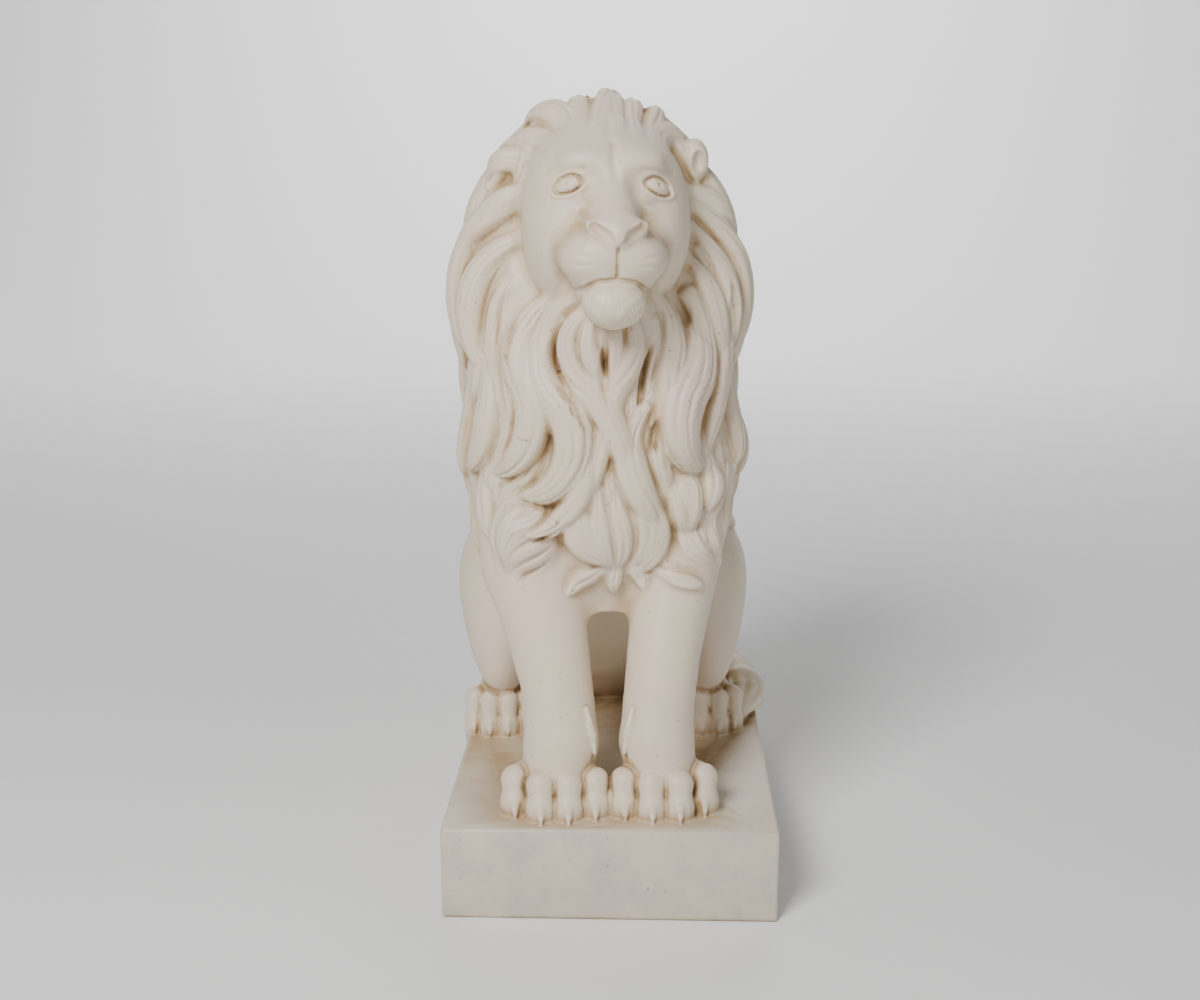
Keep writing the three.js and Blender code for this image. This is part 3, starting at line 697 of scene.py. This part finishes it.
COVERINGS = [(3, 4, True), (1.8, 3, False)]
COVERINGS = [(2.6, 3, True), (1.5, 4, False), (1.0, 3, False)]
for size, rounds, downhill in COVERINGS:
    with_modifier("REMESH", mode="VOXEL", voxel_size=size * MM, adaptivity=0)
    sculpt(rounds, 4 if downhill else 0.8 * size, downhill=downhill)


# The breast, face and fore paws, which are carved finest, get faces half as long
FINE_FRONT, FINE_FOOT = -24, 44


def finest(points):
    return (points[:, 1] < FINE_FRONT) & (points[:, 2] > FINE_FOOT)


carving = bmesh.new()
carving.from_mesh(lion.data)
fine = finest(np.array([vertex.co for vertex in carving.verts]) / MM)
edges = [edge for edge in carving.edges if fine[edge.verts[0].index] and fine[edge.verts[1].index]]
bmesh.ops.subdivide_edges(carving, edges=edges, cuts=1, use_grid_fill=True)
carving.to_mesh(lion.data)
carving.free()
sculpt(3, 0.4, finest)

BACK_FACES, FRONT_FACES = 70000, 125000


def thin_out(chosen, most):
    places = np.empty(len(lion.data.vertices) * 3)
    lion.data.vertices.foreach_get("co", places)
    chosen = chosen(places.reshape(-1, 3) / MM)
    lion.data.calc_loop_triangles()
    corners = np.empty(len(lion.data.loop_triangles) * 3, int)
    lion.data.loop_triangles.foreach_get("vertices", corners)
    faces = chosen[corners.reshape(-1, 3)].any(1)
    if faces.sum() > most:
        thinned = lion.vertex_groups.new(name="thinned")
        thinned.add(np.nonzero(chosen)[0].tolist(), 1, "REPLACE")
        with_modifier(
            "DECIMATE", decimate_type="COLLAPSE", use_collapse_triangulate=True, vertex_group="thinned",
            ratio=1 - (faces.sum() - most) / len(faces),
        )
        lion.vertex_groups.clear()


thin_out(lambda points: ~finest(points), BACK_FACES)
thin_out(finest, FRONT_FACES)
lion.data.polygons.foreach_set("use_smooth", [True] * len(lion.data.polygons))
lion.data.name = "lion"

# What the finish needs to know of each place is kept on the mesh: how closed in it is, how much it stands
# out, and how the hair is combed there.
vertices = len(lion.data.vertices)
places = np.empty(vertices * 3)
normals = np.empty(vertices * 3)
lion.data.vertices.foreach_get("co", places)
lion.data.vertex_normals.foreach_get("vector", normals)
points, normals = places.reshape(-1, 3) / MM, normals.reshape(-1, 3)
closed_in = np.zeros(vertices)
# closed_in measures how shut in each place is; it drives the tan toning and the painted shade of the recesses
for reach, weight in ((1.5, 0.45), (4, 0.35), (9, 0.2)):
    closed_in += weight * np.clip((reach - casting(points + normals * reach)) / reach, 0, 1)
# stands_out measures how far each place stands proud; it drives the painted highlight on ridges and edges
stands_out = np.clip((casting(points - normals * 2) + 2) / 2, 0, 1)
combed, combing = comb(to_figure(points))
for name, values in (
    ("toning_and_shade", closed_in), ("standing", stands_out), ("combed", combed), ("combing", combing)
):
    kept = lion.data.attributes.new(name, "FLOAT", "POINT")
    kept.data.foreach_set("value", values)

# The finish: ivory with pink and grey-green clouds, a painted highlight washing paler what stands out, toned
# tan where it is closed in with painted shade deepening that tan to brown in the recesses, with fine combed
# lines on the hair, a few pinholes from air in the pour and a greyer plinth.
stone = bpy.data.materials.new("cast_stone")
stone.use_nodes = True
nodes, links = stone.node_tree.nodes, stone.node_tree.links
shader = nodes["Principled BSDF"]
shader.inputs["Subsurface Weight"].default_value = 0.12
shader.inputs["Subsurface Radius"].default_value = (1.0, 0.7, 0.45)
shader.inputs["Subsurface Scale"].default_value = 0.003
shader.inputs["Specular IOR Level"].default_value = 0.4
where = nodes.new("ShaderNodeTexCoord").outputs["Object"]


def from_mesh(name):
    node = nodes.new("ShaderNodeAttribute")
    node.attribute_name = name
    return node.outputs["Fac"]


def clouds(scale, detail, rough):
    node = nodes.new("ShaderNodeTexNoise")
    node.inputs["Scale"].default_value = scale
    node.inputs["Detail"].default_value = detail
    node.inputs["Roughness"].default_value = rough
    links.new(where, node.inputs["Vector"])
    return node.outputs["Fac"]


def spread(value, low, high, to_low=0.0, to_high=1.0):
    node = nodes.new("ShaderNodeMapRange")
    for name, number in (("From Min", low), ("From Max", high), ("To Min", to_low), ("To Max", to_high)):
        node.inputs[name].default_value = number
    links.new(value, node.inputs["Value"])
    return node.outputs["Result"]


def reckon(operation, first, second):
    node = nodes.new("ShaderNodeMath")
    node.operation = operation
    for socket, value in zip(node.inputs, (first, second)):
        if isinstance(value, (int, float)):
            socket.default_value = value
        else:
            links.new(value, socket)
    return node.outputs["Value"]


def washed(colour, wash, amount):
    node = nodes.new("ShaderNodeMix")
    node.data_type = "RGBA"
    for socket, value in ((node.inputs["A"], colour), (node.inputs["B"], wash)):
        if isinstance(value, tuple):
            socket.default_value = (*value, 1)
        else:
            links.new(value, socket)
    links.new(amount, node.inputs["Factor"])
    return node.outputs["Result"]


IVORY, PINKISH, GREENISH = (0.73, 0.63, 0.475), (0.75, 0.61, 0.49), (0.60, 0.56, 0.42)
PAINTED_HIGHLIGHT, GREY_STONE = (0.83, 0.74, 0.60), (0.53, 0.485, 0.40)
TAN, BROWN = (0.46, 0.31, 0.155), (0.20, 0.115, 0.05)
PLINTH_TOP, PLINTH_FOOT = (0.0445, 0.0425), (0.0022, 0.0006)  # heights between which the finish changes
height = nodes.new("ShaderNodeSeparateXYZ")
links.new(where, height.inputs["Vector"])
on_plinth = spread(height.outputs["Z"], *PLINTH_TOP)
at_foot = spread(height.outputs["Z"], *PLINTH_FOOT)
broad, middling, small = clouds(14, 4, 0.6), clouds(55, 5, 0.65), clouds(420, 3, 0.6)
colour = washed(IVORY, PINKISH, spread(broad, 0.45, 0.62))
colour = washed(colour, GREENISH, spread(clouds(9, 5, 0.6), 0.52, 0.72, 0, 0.75))
colour = washed(colour, GREY_STONE, reckon("MULTIPLY", on_plinth, spread(middling, 0.3, 0.65, 0.25, 1)))
# Painted highlight: ridges, locks' crests and the plinth's top edge that stand out are washed paler as if lit
colour = washed(colour, PAINTED_HIGHLIGHT, reckon("MULTIPLY", spread(from_mesh("standing"), 0.12, 0.5), 0.8))
# Painted shade over real toning: closed-in creases are washed tan as the cast is toned, and darkened further to
# brown where the deeper recesses fall into shade
uneven = reckon("MULTIPLY", from_mesh("toning_and_shade"), spread(middling, 0.3, 0.7, 0.75, 1.25))
colour = washed(colour, TAN, spread(uneven, 0.12, 0.5, 0, 0.9))
colour = washed(colour, BROWN, spread(uneven, 0.5, 0.85, 0, 0.85))
colour = washed(colour, TAN, reckon("MULTIPLY", at_foot, spread(middling, 0.35, 0.6, 0.2, 0.8)))
pores = nodes.new("ShaderNodeTexVoronoi")
pores.inputs["Scale"].default_value = 230
links.new(where, pores.inputs["Vector"])
cell = nodes.new("ShaderNodeSeparateColor")
links.new(pores.outputs["Color"], cell.inputs["Color"])
pore = reckon(
    "MULTIPLY", spread(pores.outputs["Distance"], 0.13, 0.06), spread(cell.outputs["Red"], 0.74, 0.76)
)
colour = washed(colour, BROWN, reckon("MULTIPLY", pore, spread(broad, 0.4, 0.6, 0.2, 0.75)))
links.new(colour, shader.inputs["Base Color"])
links.new(spread(reckon("ADD", uneven, small), 0.4, 1.2, 0.42, 0.68), shader.inputs["Roughness"])
line = reckon("SINE", reckon("ADD", from_mesh("combed"), reckon("MULTIPLY", middling, 9)), 0)
relief = reckon("MULTIPLY", reckon("MULTIPLY", line, from_mesh("combing")), 0.35)
relief = reckon("ADD", relief, reckon("MULTIPLY", small, 0.35))
relief = reckon("SUBTRACT", relief, reckon("MULTIPLY", pore, 1.6))
grain = nodes.new("ShaderNodeBump")
grain.inputs["Strength"].default_value = 0.5
grain.inputs["Distance"].default_value = 0.0004
links.new(relief, grain.inputs["Height"])
links.new(grain.outputs["Normal"], shader.inputs["Normal"])
lion.data.materials.append(stone)

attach(lion, "root")
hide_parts("lion_on_plinth")

# The floor: a seamless sheet of pale card that the casting stands on, swept up behind it to a wall.
# It is one strip, drawn out along the ground, bent round a quarter turn and drawn on upwards.
SHEET_HALF, SHEET_FRONT, SHEET_BACK, SWEEP, WALL = 4.0, -3.0, 1.6, 1.2, 3.0
sheet = bmesh.new()
edge = [sheet.verts.new((-SHEET_HALF, SHEET_FRONT, 0)), sheet.verts.new((SHEET_HALF, SHEET_FRONT, 0))]
strip = [sheet.edges.new(edge)]


def drawn_out(strip, move):
    pulled = bmesh.ops.extrude_edge_only(sheet, edges=strip)["geom"]
    corners = [part for part in pulled if isinstance(part, bmesh.types.BMVert)]
    bmesh.ops.translate(sheet, verts=corners, vec=move)
    edges = [part for part in pulled if isinstance(part, bmesh.types.BMEdge)]
    return [part for part in edges if set(part.verts) == set(corners)]


strip = drawn_out(strip, (0, SHEET_BACK - SHEET_FRONT, 0))
bend = bmesh.ops.spin(
    sheet, geom=strip + list(strip[0].verts), cent=(0, SHEET_BACK, SWEEP), axis=(1, 0, 0),
    angle=math.radians(90), steps=24, use_duplicate=False,
)["geom_last"]
strip = [part for part in bend if isinstance(part, bmesh.types.BMEdge)]
drawn_out(strip, (0, 0, WALL))
bmesh.ops.recalc_face_normals(sheet, faces=sheet.faces)
floor_mesh = bpy.data.meshes.new("floor")
sheet.to_mesh(floor_mesh)
sheet.free()
floor_mesh.polygons.foreach_set("use_smooth", [True] * len(floor_mesh.polygons))
floor = bpy.data.objects.new("floor", floor_mesh)
bpy.context.scene.collection.objects.link(floor)
card = bpy.data.materials.new("pale_card")
card.use_nodes = True
card.node_tree.nodes["Principled BSDF"].inputs["Base Color"].default_value = (0.86, 0.86, 0.86, 1)
card.node_tree.nodes["Principled BSDF"].inputs["Roughness"].default_value = 0.9
floor_mesh.materials.append(card)

# Light: a soft box before the lion on the left, a weaker one on the right, one that washes the wall behind,
# and a dim pale room around them.
def soft_box(name, place, aim, size, power):
    light = bpy.data.lights.new(name, "AREA")
    light.size = size
    light.energy = power
    lamp = bpy.data.objects.new(name, light)
    lamp.location = place
    lamp.rotation_euler = (Vector(aim) - Vector(place)).to_track_quat("-Z", "Y").to_euler()
    bpy.context.scene.collection.objects.link(lamp)


soft_box("key_box", (-0.5, -1.05, 1.05), (0, 0, 0.2), 0.5, 24)
soft_box("fill_box", (1.2, -0.8, 0.7), (0, 0, 0.2), 1.0, 5)
soft_box("wall_box", (0, 1.7, 2.2), (0, 3.2, 1.0), 1.5, 80)
room = bpy.data.worlds.new("room")
room.use_nodes = True
room.node_tree.nodes["Background"].inputs["Color"].default_value = (1, 1, 1, 1)
room.node_tree.nodes["Background"].inputs["Strength"].default_value = 0.12
bpy.context.scene.world = room

# Camera: where the photographer stood, a little above the lion's head and looking down on it.
lens = bpy.data.cameras.new("camera")
lens.lens = 45
lens.sensor_width = 36
camera = bpy.data.objects.new("camera", lens)
yaw, pitch = math.radians(-1.77), math.radians(13.04)
sight = Vector((math.sin(yaw) * math.cos(pitch), math.cos(yaw) * math.cos(pitch), -math.sin(pitch)))
camera.location = (0.0148, -0.7304, 0.3342)
camera.rotation_euler = sight.to_track_quat("-Z", "Y").to_euler()
bpy.context.scene.collection.objects.link(camera)
bpy.context.scene.camera = camera
